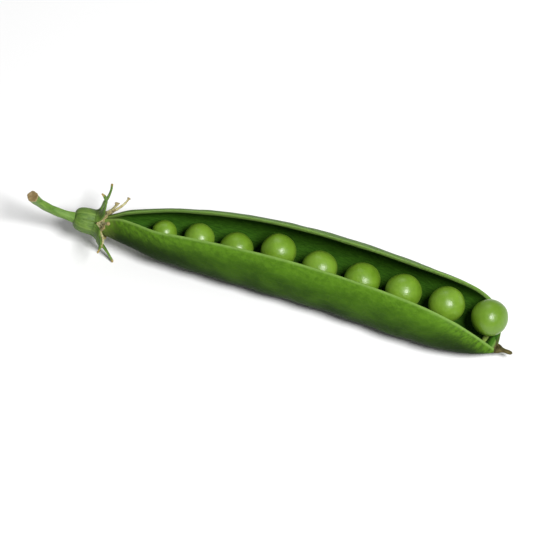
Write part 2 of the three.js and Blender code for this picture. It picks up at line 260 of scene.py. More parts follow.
# Detail of the withered stamens
TEAR = 0.35
TEAR_SIZE = 0.45
FRAY = 0.25
FRAY_SIZE = 0.16
SLEEVE_REACH = 0.82  # of the collar's length
SLEEVE_FOOT = 0.3
CREASE = 0.14
CREASES = 17
CREASE_STRAY = 3  # how far the tears push them round, in radians
CREASE_FOOT = 0.4
SLEEVE_FLARE = 0.12
SLEEVE_SKIN = 2.5  # the radius that its pattern is laid round
SLEEVE_SHEET = 0.25  # thickness
STRAND_ROOT = 1.2  # inside the sleeve
STRAND_STRAY = 0.12
STRAND_STRAY_SIZE = 1.6
STRAND_TAPER = 0.85, 0.5  # of the filament's radius
ANTHER = 0.7
ANTHER_PLACE = 0.96
ANTHER_WIDTH = 0.035
STRAND_KNOT = 0.06
STRAND_KNOT_TURN = 31  # radians from end to end
STRAND_BLUNT = 30  # the higher, the later its ends round off
STRAND_LEAST = 0.02
STRAND_APART = 6  # keeps the patterns of the strands apart
FINE_GIRTH = 0.6  # of the finer strands, beside the others
FINE_TURN = -0.05, 0.2  # least and most, in spaces between the others
FINE_LENGTH = 0.45, 0.75
FINE_HOOK = 0.2, 0.4
STRAW_BROWN = 0.6  # share from which sleeve and strands turn brown

# Most values of a noise in the materials lie between these
NOISE_RANGE = 0.3, 0.7


def lerp(low, high, share):
    return low + (high - low) * share


def smoothstep(x, low, high):
    share = np.clip((x - low) / (high - low), 0, 1)
    return share * share * (3 - 2 * share)


def hump(x, width):
    return np.exp(-((x / width) ** 2))


def unit(vectors):
    return vectors / np.linalg.norm(vectors, axis=-1, keepdims=True)


def circle(count):
    return 2 * np.pi * np.arange(count) / count


def stacked(*parts):
    """Numbers and arrays, spread to one shape, as the last axis of one array."""
    return np.stack(np.broadcast_arrays(*parts), -1)


def seeded(seed):
    """Even random numbers from 0 to 1 by the minimal standard generator."""
    modulus = 2**31 - 1
    state = seed
    while True:
        state = state * 16807 % modulus
        yield state / modulus


def bezier(points, share):
    """Points of a Bezier curve with any number of handles, at an array of shares."""
    order = len(points) - 1
    share = np.asarray(share, float)[:, None]
    weights = [math.comb(order, i) * share**i * (1 - share) ** (order - i) for i in range(order + 1)]
    return sum(weight * np.asarray(p, float) for weight, p in zip(weights, points))


def rough(points, size, seed):
    """Smooth noise from -1 to 1 at each point, with features of about that size."""
    shift = Vector((seed * 17.3, seed * 5.1, seed * 9.7))
    return np.array([noise.noise(Vector(p) / size + shift) for p in points])


def netting(points, cell, seed):
    """0 in the cells of an uneven net and 1 along its threads."""
    shift = Vector((seed * 3.7, seed * 8.9, seed * 1.3))
    nearest = (noise.voronoi(Vector(p / cell) + shift)[0] for p in points)
    return np.array([hump(second - first, VEIN_WIDTH) for first, second, *_ in nearest])


# Joining points into pieces
def grid(rows, columns, first):
    """Quads of rows of points that each close on themselves."""
    corners = []
    for row in range(rows - 1):
        here = first + row * columns
        for k in range(columns):
            after = (k + 1) % columns
            corners.append((here + k, here + after, here + columns + after, here + columns + k))
    return corners


def fan(ring, hub):
    return [(ring[k], ring[(k + 1) % len(ring)], hub) for k in range(len(ring))]


class Form:
    """Points, faces and two sets of three numbers for each point: skin, the place on the surface in mm,
    and tone, which the materials use to tell the regions of a piece apart."""

    def __init__(self):
        self.points, self.skin, self.tone, self.faces = [], [], [], []

    def add(self, points, skin, tone):
        first = len(self.points)
        self.points.extend(np.reshape(points, (-1, 3)).tolist())
        self.skin.extend(np.reshape(skin, (-1, 3)).tolist())
        self.tone.extend(np.reshape(tone, (-1, 3)).tolist())
        return first

    def add_rings(self, rings, skin, tone, closed=True):
        """Rows of points that close on themselves, with a fan over both ends."""
        rows, columns = rings.shape[:2]
        first = self.add(rings, skin, tone)
        self.faces += grid(rows, columns, first)
        if closed:
            for row in (0, rows - 1):
                ring = [first + row * columns + k for k in range(columns)]
                hub = self.add(rings[row].mean(0), skin[row].mean(0), tone[row].mean(0))
                self.faces += fan(ring, hub)

    def make(self, name, material, slot, *nodes):
        """The piece itself, on the part's body and in place of its solids."""
        mesh = bpy.data.meshes.new(name)
        mesh.from_pydata((np.array(self.points) * MM).tolist(), [], self.faces)
        for label, values in (("skin", self.skin), ("tone", self.tone)):
            attribute = mesh.attributes.new(label, "FLOAT_VECTOR", "POINT")
            attribute.data.foreach_set("vector", np.array(values, np.float32).ravel())
        shape = bmesh.new()
        shape.from_mesh(mesh)
        bmesh.ops.recalc_face_normals(shape, faces=shape.faces)
        shape.to_mesh(mesh)
        shape.free()
        mesh.polygons.foreach_set("use_smooth", np.ones(len(mesh.polygons), bool))
        mesh.materials.append(material)
        made = bpy.data.objects.new(name, mesh)
        bpy.context.scene.collection.objects.link(made)
        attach(made, "root")
        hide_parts(*nodes)
        return made


def tube(path, radii, sides):
    """Rings round a path, turned as little as possible from one to the next, with their skin."""
    any_way = 0.31, 0.17, 0.93
    ways = unit(np.gradient(path, axis=0))
    out = unit(np.cross(ways[0], any_way))
    turns = circle(sides)
    radii = np.broadcast_to(np.reshape(radii, (len(path), -1)), (len(path), sides))
    rings, skin = [], []
    along = 0
    for i, way in enumerate(ways):
        out = unit(out - way * (out @ way))
        across = np.cross(way, out)
        around = np.cos(turns)[:, None] * out + np.sin(turns)[:, None] * across
        rings.append(path[i] + radii[i][:, None] * around)
        along += np.linalg.norm(path[i] - path[i - 1]) if i else 0
        skin.append(stacked(along, turns * radii[i].mean(), 0))
    return np.array(rings), np.array(skin)


def thicken(made, thickness):
    """Gives a sheet its thickness and rounds it, in its mesh."""
    solid = made.modifiers.new("thickness", "SOLIDIFY")
    solid.thickness = thickness * MM
    solid.offset = -1
    soft = made.modifiers.new("rounding", "SUBSURF")
    soft.levels = soft.render_levels = 1
    graph = bpy.context.evaluated_depsgraph_get()
    mesh = bpy.data.meshes.new_from_object(made.evaluated_get(graph))
    made.modifiers.clear()
    made.data = mesh


# The pod's form
pea_count = sum(name.startswith("pea_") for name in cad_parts)
pea_boxes = [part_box(f"pea_{i + 1}") for i in range(pea_count)]
pea_middles = [np.array((low + high) / 2) / MM for low, high in pea_boxes]
pea_sizes = [np.array(high - low) / MM for low, high in pea_boxes]
pea_places = [(middle[0] - NECK_X) / POD_LENGTH for middle in pea_middles]


def stem_share(u):
    return np.clip(u / TALLEST, 0, 1)


def tip_share(u):
    return np.clip((1 - u) / (1 - TALLEST), 0, 1)


def fullness(u, side):
    stem = (1 - (1 - stem_share(u)) ** STEM_TAPER) * smoothstep(u, 0, NECK_FLARE)
    taper, power = (NEAR_TAPER, 1) if side < 0 else (FAR_TAPER, FAR_ROUND)
    return np.where(u < TALLEST, stem, (1 - (1 - tip_share(u)) ** taper) ** power)


def height(u, side=1):
    return lerp(np.where(u < TALLEST, NECK_HEIGHT, TIP_HEIGHT), POD_HEIGHT, fullness(u, side))


def half_width(u, side=1):
    full = fullness(u, side)
    plain = lerp(np.where(u < TALLEST, NECK_HALF_WIDTH, TIP_HALF_WIDTH), POD_HALF_WIDTH, full)
    swell = sum(hump((u - place) * POD_LENGTH, BUMP_REACH) for place in pea_places)
    return plain + PEA_BUMP * full * swell


def seam(u):
    x = NECK_X + POD_LENGTH * np.asarray(u, float)
    rise = NECK_RISE * (1 - stem_share(u)) ** NECK_CURVE + TIP_RISE * (1 - tip_share(u)) ** TIP_CURVE
    return stacked(x, -BOW * (x / (POD_LENGTH / 2)) ** 2, rise - SEAM_SINK)


def lean(u, side):
    stem, tip = (NEAR_STEM, NEAR_TIP) if side < 0 else (FAR_STEM, FAR_TIP)
    return lerp(stem, tip, u**OPEN_CURVE) * smoothstep(u, SPLIT_START, SPLIT_FULL)


def solidity(u):
    return FILLED * np.maximum(1 - smoothstep(u, 0, SOLID_NECK), smoothstep(u, 1 - SOLID_TIP, 1))


def wall(u, side, turn, inside):
    """Points of one valve, a row for each share u: turn runs from 0 at the seam to pi at the open edge."""
    u = u[:, None]
    floor = 0
    top = height(u, side)
    bulge = half_width(u, side)
    if inside:
        floor = np.minimum(WALL, MOST_FLOOR * top)
        top = top - np.minimum(EDGE, MOST_EDGE * top)
        floor = lerp(floor, top, solidity(u))
        bulge = (bulge - np.minimum(WALL, MOST_WALL * bulge)) * (1 - solidity(u))
    share = (1 - np.cos(turn)) / 2
    curve = np.clip(np.sin(turn), 0, 1) ** np.where(turn > np.pi / 2, EDGE_LINE, 1)
    across = bulge * curve + SLIT / 2 * share
    up = lerp(floor, top, share)
    angle = lean(u, side)
    out = across * np.cos(angle) + up * np.sin(angle)
    rise = up * np.cos(angle) - across * np.sin(angle)
    return seam(u[:, 0])[:, None] + stacked(0, side * out, rise)


def reach(points):
    """How far along its row each point lies."""
    steps = np.linalg.norm(np.diff(points, axis=1), axis=-1)
    return np.concatenate([np.zeros((len(points), 1)), np.cumsum(steps, axis=1)], axis=1)


def valve(u, side):
    """One valve from the seam outside, over its open edge and down the inside to the seam again, with the
    distance from the seam, the distance to the open edge, and 1 on the inside for each point."""
    outer = wall(u, side, np.linspace(0, np.pi, OUTER_STEPS + 1), False)
    inner = wall(u, side, np.linspace(np.pi, 0, INNER_STEPS + 1), True)
    shares = np.linspace(0, 1, RIM_STEPS + 1)[1:-1, None]
    rim = lerp(outer[:, -1:], inner[:, :1], shares)
    none = np.zeros(rim.shape[:2])
    arc_out, arc_in = reach(outer), reach(inner)
    far = arc_out[:, -1:]
    arcs = np.concatenate([arc_out, far + none, arc_in[:, -1:] - arc_in], 1)
    edges = np.concatenate([far - arc_out, none, arc_in], 1)
    insides = np.concatenate([0 * arc_out, none + shares[:, 0], 0 * arc_in + 1], 1)
    return np.concatenate([outer, rim, inner], 1), arcs, edges, insides


def both(far, near):
    """The far valve's row, then the near one's backwards without the two points that they share."""
    return np.concatenate([far, near[:, -2:0:-1]], 1)


def ways_out(rings):
    """Unit normals of a skin of rings, pointing out of the solid."""
    around = np.roll(rings, -1, axis=1) - np.roll(rings, 1, axis=1)
    along = np.gradient(rings, axis=0)
    tiny = 1e-9  # keeps the length from being nothing where points meet
    return unit(np.cross(along, around) + tiny)


def shell_relief(u, skin, arcs, edges, insides):
    """How far each point of the shell stands out: lumps, veins, a bead along the open edges, the suture
    between two grooves outside, and the placenta's ridge inside."""
    flat = skin.reshape(-1, 3)
    slanted = flat - np.outer(flat[:, 1], (VEIN_SLANT, 0, 0))
    lumps = rough(flat * LUMP_SQUEEZE, LUMP_SIZE, seed=1) + RIPPLE * rough(flat, RIPPLE_SIZE, seed=2)
    lumps = LUMP * lumps.reshape(arcs.shape)
    veins = VEIN * netting(slanted, VEIN_CELL, seed=3).reshape(arcs.shape)
    veins *= 1 - hump(edges, VEIN_MARGIN)
    suture = SUTURE * (hump(arcs, SUTURE_WIDTH) - GROOVE * hump(arcs - GROOVE_PLACE, SUTURE_WIDTH))
    outside = lumps + veins + suture + BEAD * hump(edges - BEAD_PLACE, BEAD_WIDTH)
    inside = LINING_LUMP * lumps + PLACENTA * hump(arcs, PLACENTA_WIDTH)
    calm = smoothstep(u, *CALM_NECK) * (1 - smoothstep(u, *CALM_TIP))
    return calm[:, None] * np.where(insides == 0, outside, np.where(insides == 1, inside, 0))


def shell_rings():
    """Rows of points round both valves, with their skin and tone: inside, open edge with a band of painted
    light below it, and dry tip.
    """
    shares = np.linspace(0, 1, POD_STEPS + 1)
    u = lerp(shares, (1 - np.cos(np.pi * shares)) / 2, END_CROWDING)
    far, near = valve(u, 1), valve(u, -1)
    rings, arcs, edges, insides = (both(a, b) for a, b in zip(far, near))
    sides = np.where(np.arange(rings.shape[1]) < far[0].shape[1], 1, -1)
    corner = hump(edges, RIM_REACH)[..., None]
    for _ in range(RIM_PASSES):
        middle = (np.roll(rings, 1, axis=1) + np.roll(rings, -1, axis=1)) / 2
        rings = lerp(rings, middle, corner / 2)
    skin = stacked(POD_LENGTH * u[:, None], arcs, SIDE_APART * sides + LINING_APART * insides)
    rings = rings + shell_relief(u, skin, arcs, edges, insides)[..., None] * ways_out(rings)
    # The pale open edges, with a weaker band of painted light below those outside
    outer_rims_and_lit_band = hump(edges, np.where(sides > 0, FAR_RIM, NEAR_RIM))
    outer_rims_and_lit_band = np.maximum(outer_rims_and_lit_band, LIT_BAND * hump(edges, LIT_BAND_WIDTH))
    rims_and_lit_band = np.where(insides == 1, hump(edges, INNER_RIM), outer_rims_and_lit_band)
    dried = smoothstep(u, DRY_START, 1)[:, None] * hump(arcs, DRY_WIDTH)
    return rings, skin, stacked(insides, rims_and_lit_band, dried)


def style_rings(tip_ring):
    """The dry style, which carries the tip's outline on into a thin round beak."""
    shares = np.linspace(0, 1, STYLE_STEPS + 1)[1:]
    root = seam(1.0)
    handles = [
        root + (0, 0, TIP_HEIGHT / 2),
        root + (STYLE_LENGTH / 2, 0, TIP_HEIGHT / 2 + STYLE_ARCH),
        root + (STYLE_LENGTH, 0, STYLE_HOOK),
    ]
    path = bezier(handles, shares)[:, None]
    shares = shares[:, None]
    turns = circle(len(tip_ring)) - np.pi / 2
    radii = lerp(STYLE_RADIUS, STYLE_POINT, shares) * (1 + STYLE_KNOT * np.sin(STYLE_KNOT_TURN * shares))
    radii = np.maximum(radii * np.sqrt(1 - shares**STYLE_BLUNT), STYLE_LEAST)
    radii = radii * (1 + STYLE_FLUTE * np.cos(STYLE_FLUTES * turns + STYLE_FLUTE_TURN))
    beak = path + stacked(0, radii * np.cos(turns), radii * np.sin(turns))
    moved = tip_ring + path - handles[0]
    rings = lerp(moved, beak, smoothstep(shares, 0, STYLE_BLEND)[..., None])
    skin = stacked(POD_LENGTH + STYLE_LENGTH * shares, turns * STYLE_RADIUS, 0)
    return rings, skin, stacked(0 * turns, 0, 1 + shares)


def make_pod(material):
    """The shell with its dry style, flat where it rests on the ground, and a stalk under each pea."""
    form = Form()
    shell = shell_rings()
    style = style_rings(shell[0][-1])
    rings, skin, tone = (np.concatenate(pair) for pair in zip(shell, style))
    rings[..., 2] = np.maximum(rings[..., 2], 0)
    form.add_rings(rings, skin, tone)
    for u, middle, size in zip(pea_places, pea_middles, pea_sizes):
        foot = seam(u) + (0, 0, WALL / 2)
        head = middle - (0, 0, size[2] / 2 - STALK_DIP)
        bend = np.array((head[0], head[1], (foot[2] + head[2]) / 2))
        shares = np.linspace(0, 1, STALK_STEPS + 1)
        path = bezier([foot, bend, head], shares)
        rings, skin = tube(path, lerp(STALK_FOOT, STALK_HEAD, shares), STALK_SIDES)
        form.add_rings(rings, skin, stacked(np.ones(rings.shape[:2]), STALK_PALE, 0))
    form.make("pod_shell_skin", material, "pod_skin", "pod_shell")


def make_pea(i, material):
    """A pea with its own slight unevenness, a shallow dent, and the scar where its stalk holds it."""
    middle, size = pea_middles[i], pea_sizes[i]
    ball = bmesh.new()
    bmesh.ops.create_icosphere(ball, subdivisions=PEA_SPLITS, radius=1)
    way = unit(np.array([v.co for v in ball.verts]))
    faces = [tuple(v.index for v in face.verts) for face in ball.faces]
    ball.free()
    random = seeded(PEA_SEED + PEA_SEED_STEP * i)
    turn = 2 * math.pi * next(random)
    dent = unit(np.array((math.cos(turn), math.sin(turn), DENT_SPAN * next(random) + DENT_LOWEST)))
    tint = next(random)
    from_dent = np.arccos(np.clip(way @ dent, -1, 1))
    from_scar = np.arccos(np.clip(way @ unit(np.array(SCAR_WAY)), -1, 1))
    radius = 1 + PEA_UNEVEN * rough(way, PEA_UNEVEN_SIZE, seed=20 + i)
    radius += PEA_GRAIN * rough(way, PEA_GRAIN_SIZE, seed=40 + i)
    radius -= DENT * hump(from_dent, DENT_WIDTH) + SCAR * hump(from_scar, SCAR_WIDTH)
    radius += SCAR_LIP * hump(from_scar - SCAR_LIP_PLACE, SCAR_LIP_WIDTH)
    points = way * radius[:, None]
    low, high = points.min(0), points.max(0)
    points = middle + (points - (low + high) / 2) / (high - low) * size
    # The third tone marks the painted shade of a pea that stands clear of the pod
    tone = stacked(tint, hump(from_scar, SCAR_LIP_PLACE), smoothstep(pea_places[i], *BARE_SHADE))
    form = Form()
    form.add(points, way * size / 2 + PEA_APART * i, tone)
    form.faces = faces
    form.make(f"pea_{i + 1}_skin", material, "pea_skin", f"pea_{i + 1}")


# The stem end stands along its own axis, z towards the pod and x downwards, and is laid along the neck
def neck_middle(u):
    return seam(u) + stacked(0, 0, height(u) / 2)


neck = neck_middle(0.0)
forward = unit(neck_middle(NECK_IN_CUP / POD_LENGTH) - neck)
sideways = unit(np.cross((0, 0, 1), forward))
downward = np.cross(sideways, forward)
stem_axes = np.stack([downward, sideways, forward])
cup_base = NECK_IN_CUP - CUP_LENGTH


def on_stem_end(points):
    return neck + np.asarray(points) @ stem_axes


def cup_rings():
    """Rows of points up the cup, which swells along its sepals' midribs, with their skin and tone."""
    handles = [
        (STEM_RADIUS, cup_base),
        (CUP_RADIUS, cup_base),
        (CUP_RADIUS, cup_base + CUP_LENGTH / 2),
        (CUP_RADIUS, NECK_IN_CUP),
    ]
    shares = np.linspace(0, 1, CUP_STEPS + 1)
    profile = bezier(handles, shares)
    turns = circle(SEPAL_COUNT * SEPAL_COLUMNS)
    lobes = np.cos(SEPAL_COUNT * (turns - np.pi / SEPAL_COUNT))
    ribs = 1 + CUP_RIB * np.maximum(lobes, 0) ** CUP_RIB_SHARP
    radii = profile[:, :1] * lerp(1, ribs, smoothstep(shares, *CUP_RIB_RISE)[:, None])
    along = profile[:, 1:]
    across = 2 * (turns / (2 * np.pi) * SEPAL_COUNT % 1) - 1
    rings = stacked(radii * np.cos(turns), radii * np.sin(turns), along)
    skin = stacked(along - cup_base, CUP_SKIN * radii * across, 0)
    return on_stem_end(rings), skin, stacked(0 * radii, across, 0)


def sepal_lines():
    """For each sepal its azimuth and length and, from the cup's edge to its point, how far out it reaches,
    how far along, and its slope."""
    steps = 48
    random = seeded(SEPAL_SEED)
    for i in range(SEPAL_COUNT):
        azimuth = 2 * math.pi * (i + 0.5) / SEPAL_COUNT
        high = (1 - math.cos(azimuth)) / 2
        length = SEPAL_LENGTH * (1 + SEPAL_STRAY * (next(random) - 0.5))
        curl = lerp(LOW_CURL, HIGH_CURL, high) + SEPAL_STRAY * next(random)
        slopes = lerp(lerp(LOW_SPLAY, HIGH_SPLAY, high), curl, np.linspace(0, 1, steps + 1))
        out = CUP_RADIUS - CUP_WALL / 2 + np.cumsum(np.sin(slopes)) * length / steps
        along = NECK_IN_CUP - SEPAL_ROOT + np.cumsum(np.cos(slopes)) * length / steps
        start = int(np.argmax(along > NECK_IN_CUP))
        yield azimuth, length, out[start:], along[start:], slopes[start:]


def sepal_rows(i, azimuth, length, *lines):
    """Rows of points across a sepal, with their skin and tone: its foot carries the cup's edge on, and its
    blade has a raised midrib, turned-in sides and wavy edges."""
    edges = np.linspace(-1, 1, SEPAL_COLUMNS + 1)
    last = len(lines[0]) - 1
    spots = np.linspace(0, last, SEPAL_STEPS + 1)[1:]
    out, along, slopes = (np.interp(spots, np.arange(last + 1), line)[:, None] for line in lines)
    shares = (spots / last)[:, None]
    half = lerp(SEPAL_WIDTH, SEPAL_POINT, shares**SEPAL_SLENDER) / 2
    wave = WAVE * np.sin(WAVE_TURN * shares + WAVE_SHIFT * i + edges) * smoothstep(shares, *WAVE_START)
    lift = MIDRIB * hump(edges, MIDRIB_WIDTH) * (1 - shares) + (wave - SEPAL_CHANNEL * half) * edges**2
    blade = stacked(out + lift * np.cos(slopes), half * edges, along - lift * np.sin(slopes))
    spread = edges * np.pi / SEPAL_COUNT
    tall = shares * length
    foot = stacked(
        CUP_RADIUS * np.cos(spread) + FOOT_OUT * tall,
        CUP_RADIUS * np.sin(spread) * (1 - FOOT_NARROW * shares),
        NECK_IN_CUP + FOOT_ALONG * tall,
    )
    x, y, z = np.moveaxis(lerp(foot, blade, smoothstep(shares, 0, FOOT_END)[..., None]), -1, 0)
    cosine, sine = math.cos(azimuth), math.sin(azimuth)
    points = on_stem_end(stacked(x * cosine - y * sine, x * sine + y * cosine, z))
    skin = stacked(CUP_LENGTH + tall, half * edges, SEPAL_APART * i)
    return points, skin, stacked(0, edges, smoothstep(shares, SEPAL_WITHERED, 1))


def make_calyx(material):
    """A bell round the neck that parts into pointed sepals."""
    form = Form()
    columns = SEPAL_COLUMNS
    around = SEPAL_COUNT * columns
    first = form.add(*cup_rings())
    form.faces += grid(CUP_STEPS + 1, around, first)
    hub = form.add(on_stem_end((0, 0, cup_base)), (0, 0, 0), (0, 0, 0))
    form.faces += fan([first + k for k in range(around)], hub)
    rim = first + CUP_STEPS * around
    for i, lines in enumerate(sepal_lines()):
        start = form.add(*sepal_rows(i, *lines))
        rows = [[rim + (i * columns + k) % around for k in range(columns + 1)]]
        for step in range(SEPAL_STEPS):
            rows.append([start + step * (columns + 1) + k for k in range(columns + 1)])
        for low, high in zip(rows, rows[1:]):
            form.faces += [(low[k], low[k + 1], high[k + 1], high[k]) for k in range(columns)]
    thicken(form.make("calyx_leaf", material, "sepal_green", "calyx"), SEPAL_SHEET)


def make_stem(material):
    """The cut flower stalk: ribbed, swollen at both ends, with a dished brown cut."""
    handles = [
        (0, 0, cup_base + GAP),
        (0, 0, cup_base - STEM_LENGTH / 3),
        (-STEM_BEND / 4, 0, cup_base - STEM_LENGTH * 2 / 3),
        (-STEM_BEND, -STEM_DRIFT, cup_base - STEM_LENGTH * 4 / 5 - GAP),
    ]
    shares = np.linspace(0, 1, STEM_STEPS + 1)
    path = on_stem_end(bezier(handles, shares))
    shares = shares[:, None]
    turns = circle(STEM_SIDES)
    ribs = 1 + STEM_RIB * np.cos(STEM_RIBS * turns + STEM_TWIST * shares)
    ribs = ribs + STEM_FINE_RIB * np.cos(STEM_FINE_RIBS * turns + STEM_FINE_TURN)
    waver = 1 + STEM_WAVER * np.sin(STEM_WAVER_TURN * shares + STEM_WAVER_START)
    radii = STEM_RADIUS * (1 + STEM_FLARE * (2 * shares - 1) ** 4) * ribs * waver
    rings, skin = tube(path, radii, STEM_SIDES)
    tone = stacked(0 * turns, 0, smoothstep(shares, STEM_DRY, 1))
    way = unit(path[-1] - path[-2])
    cut = rings[-1]
    for scale, push in CUT_RINGS:
        closing = lerp(cut.mean(0), cut, scale) + push * way
        rings = np.concatenate([rings, closing[None]])
        skin = np.concatenate([skin, skin[-1:] + (CUT_SKIN, 0, 0)])
        tone = np.concatenate([tone, np.ones((1, STEM_SIDES, 3))])
    form = Form()
    form.add_rings(rings, skin, tone)
    form.make("stem_stalk", material, "stem_green", "stem")


def collar_point(u, offset, turn):
    across = (half_width(u) + offset) * np.cos(turn)
    up = (height(u) / 2 + offset) * np.sin(turn)
    return neck_middle(u) + stacked(0, across, up)


def make_sleeve(material):
    """The torn and creased papery sleeve of the withered stamens, round the pod's neck."""
    turns = circle(COLLAR_SIDES)
    places = stacked(np.cos(turns), np.sin(turns), 0)
    torn = TEAR * rough(places, TEAR_SIZE, seed=61) + FRAY * rough(places, FRAY_SIZE, seed=62)
    shares = np.linspace(0, 1, COLLAR_STEPS + 1)[:, None]
    along = COLLAR_START + COLLAR_LENGTH * shares * (SLEEVE_REACH + torn)
    along -= SLEEVE_FOOT * (1 - shares) * torn
    creased = CREASE * np.cos(CREASES * turns + CREASE_STRAY * torn) * (CREASE_FOOT + shares)
    creased += SLEEVE_FLARE * shares**2
    rings = collar_point(along / POD_LENGTH, COLLAR_GAP + COLLAR_WALL / 2 + creased, turns)
    skin = stacked(along, SLEEVE_SKIN * turns, 0)
    tone = stacked(0 * turns, 0, smoothstep(shares, STRAW_BROWN, 1))
    form = Form()
    form.add_rings(rings, skin, tone, closed=False)
    thicken(form.make("stamen_sleeve", material, "dried_straw", "stamen_remnant"), SLEEVE_SHEET)


def strand_plans():
    """For each strand its turn round the neck, length, hook and girth: first the solid's filaments, then
    finer ones between them."""
    random = seeded(FILAMENT_SEED)
    for i in range(FILAMENT_COUNT):
        turn = math.pi * (i + 0.25 + next(random) / 2) / FILAMENT_COUNT
        length = FILAMENT_LENGTH * (1 + FILAMENT_STRAY * (next(random) - 0.5))
        yield turn, length, (1 + next(random)) / 3, 1
    for i in range(FILAMENT_COUNT + 1):
        turn = math.pi * (i + lerp(*FINE_TURN, next(random))) / FILAMENT_COUNT
        length = FILAMENT_LENGTH * lerp(*FINE_LENGTH, next(random))
        yield turn, length, lerp(*FINE_HOOK, next(random)), FINE_GIRTH


def make_strands(material):
    """The loose filaments, each bent out of the sleeve and knobbed at its end."""
    form = Form()
    root_u = (COLLAR_START + COLLAR_LENGTH - STRAND_ROOT) / POD_LENGTH
    shares = np.linspace(0, 1, FILAMENT_STEPS + 1)
    for i, (turn, length, hook, girth) in enumerate(strand_plans()):
        away = np.array((0, math.cos(turn), math.sin(turn))) * length
        root = collar_point(root_u, COLLAR_GAP + COLLAR_WALL / 2, turn)
        bend = root + (length / 2, 0, 0) + away / 2
        path = bezier([root, bend, bend + away * hook], shares)
        stray_x, stray_y = (rough(path, STRAND_STRAY_SIZE, seed + i) for seed in (70, 90))
        path = path + STRAND_STRAY * stacked(stray_x, stray_y, 0)
        anther = ANTHER * hump(shares - ANTHER_PLACE, ANTHER_WIDTH)
        knots = STRAND_KNOT * np.sin(STRAND_KNOT_TURN * shares)
        ends = np.sqrt(np.clip(1 - (2 * shares - 1) ** STRAND_BLUNT, STRAND_LEAST, 1))
        radii = girth * FILAMENT_RADIUS * (lerp(*STRAND_TAPER, shares) + anther + knots) * ends
        rings, skin = tube(path, radii, FILAMENT_SIDES)
        tone = stacked(np.zeros(FILAMENT_SIDES), 0, smoothstep(shares, STRAW_BROWN, 1)[:, None])
        form.add_rings(rings, skin + (0, 0, STRAND_APART * i), tone)
    form.make("stamen_strands", material, "dried_straw", "stamen_remnant")


# Materials
def rgb(red, green, blue):
    """A linear colour from screen values 0 to 255."""
    def straight(value):
        value /= 255
        return value / 12.92 if value <= 0.04045 else ((value + 0.055) / 1.055) ** 2.4
    return (straight(red), straight(green), straight(blue), 1)


class Shader:
    """A material under construction. Values given to its nodes are plain or another node's output."""

    def __init__(self, name):
        self.material = bpy.data.materials.new(name)
        self.material.use_nodes = True
        self.tree = self.material.node_tree
        self.surface = self.tree.nodes["Principled BSDF"]
        self.skin = self.add("Attribute", {}, attribute_name="skin").outputs["Vector"]
        self.tone = self.parts(self.add("Attribute", {}, attribute_name="tone").outputs["Vector"])

    def feed(self, socket, value):
        if isinstance(value, bpy.types.NodeSocket):
            self.tree.links.new(value, socket)
        else:
            socket.default_value = value

    def add(self, kind, inputs, **settings):
        node = self.tree.nodes.new("ShaderNode" + kind)
        for key, value in settings.items():
            setattr(node, key, value)
        for key, value in inputs.items():
            self.feed(node.inputs[key], value)
        return node

    def parts(self, vector):
        return list(self.add("SeparateXYZ", {"Vector": vector}).outputs)

    def math(self, operation, first, second=0.0):
        return self.add("Math", {0: first, 1: second}, operation=operation).outputs[0]

    def times(self, first, second):
        return self.math("MULTIPLY", first, second)

    def plus(self, first, second):
        return self.math("ADD", first, second)

    def laid(self, scale, turn=0.0):
        """The place on the surface, turned and scaled: a feature is about 1/scale mm across."""
        inputs = {"Vector": self.skin, "Scale": scale, "Rotation": (0, 0, turn)}
        return self.add("Mapping", inputs).outputs[0]

    def noise(self, place, detail, roughness=0.55):
        inputs = {"Vector": place, "Scale": 1.0, "Detail": detail, "Roughness": roughness}
        return self.add("TexNoise", inputs).outputs["Fac"]

    def cells(self, place, feature="DISTANCE_TO_EDGE"):
        return self.add("TexVoronoi", {"Vector": place, "Scale": 1.0}, feature=feature).outputs["Distance"]

    def ramp(self, value, low, high, start=0.0, end=1.0):
        """Runs smoothly from start, where the value is low, to end, where it is high."""
        inputs = {"Value": value, "From Min": low, "From Max": high, "To Min": start, "To Max": end}
        return self.add("MapRange", inputs, interpolation_type="SMOOTHSTEP").outputs[0]

    def spread(self, value, start=0.0, end=1.0):
        """Spreads a noise, whose values gather round a half, from start to end."""
        return self.ramp(value, *NOISE_RANGE, start, end)

    def mix(self, share, first, second):
        node = self.add("Mix", {}, data_type="RGBA")
        self.feed(node.inputs[0], share)
        self.feed(node.inputs[6], first)
        self.feed(node.inputs[7], second)
        return node.outputs[2]

    def bump(self, value, depth, below=None):
        """A normal that follows relief of that depth in mm, over the normal below it."""
        inputs = {"Height": value, "Distance": depth * MM, "Strength": 1.0}
        if below:
            inputs["Normal"] = below
        return self.add("Bump", inputs).outputs[0]

    def finish(self, colour, roughness, normal, **constants):
        """Feeds the surface and sets the constants on its own sockets."""
        self.feed(self.surface.inputs["Base Color"], colour)
        self.feed(self.surface.inputs["Roughness"], roughness)
        self.feed(self.surface.inputs["Normal"], normal)
        for key, value in constants.items():
            self.surface.inputs[key.replace("_", " ")].default_value = value
        return self.material


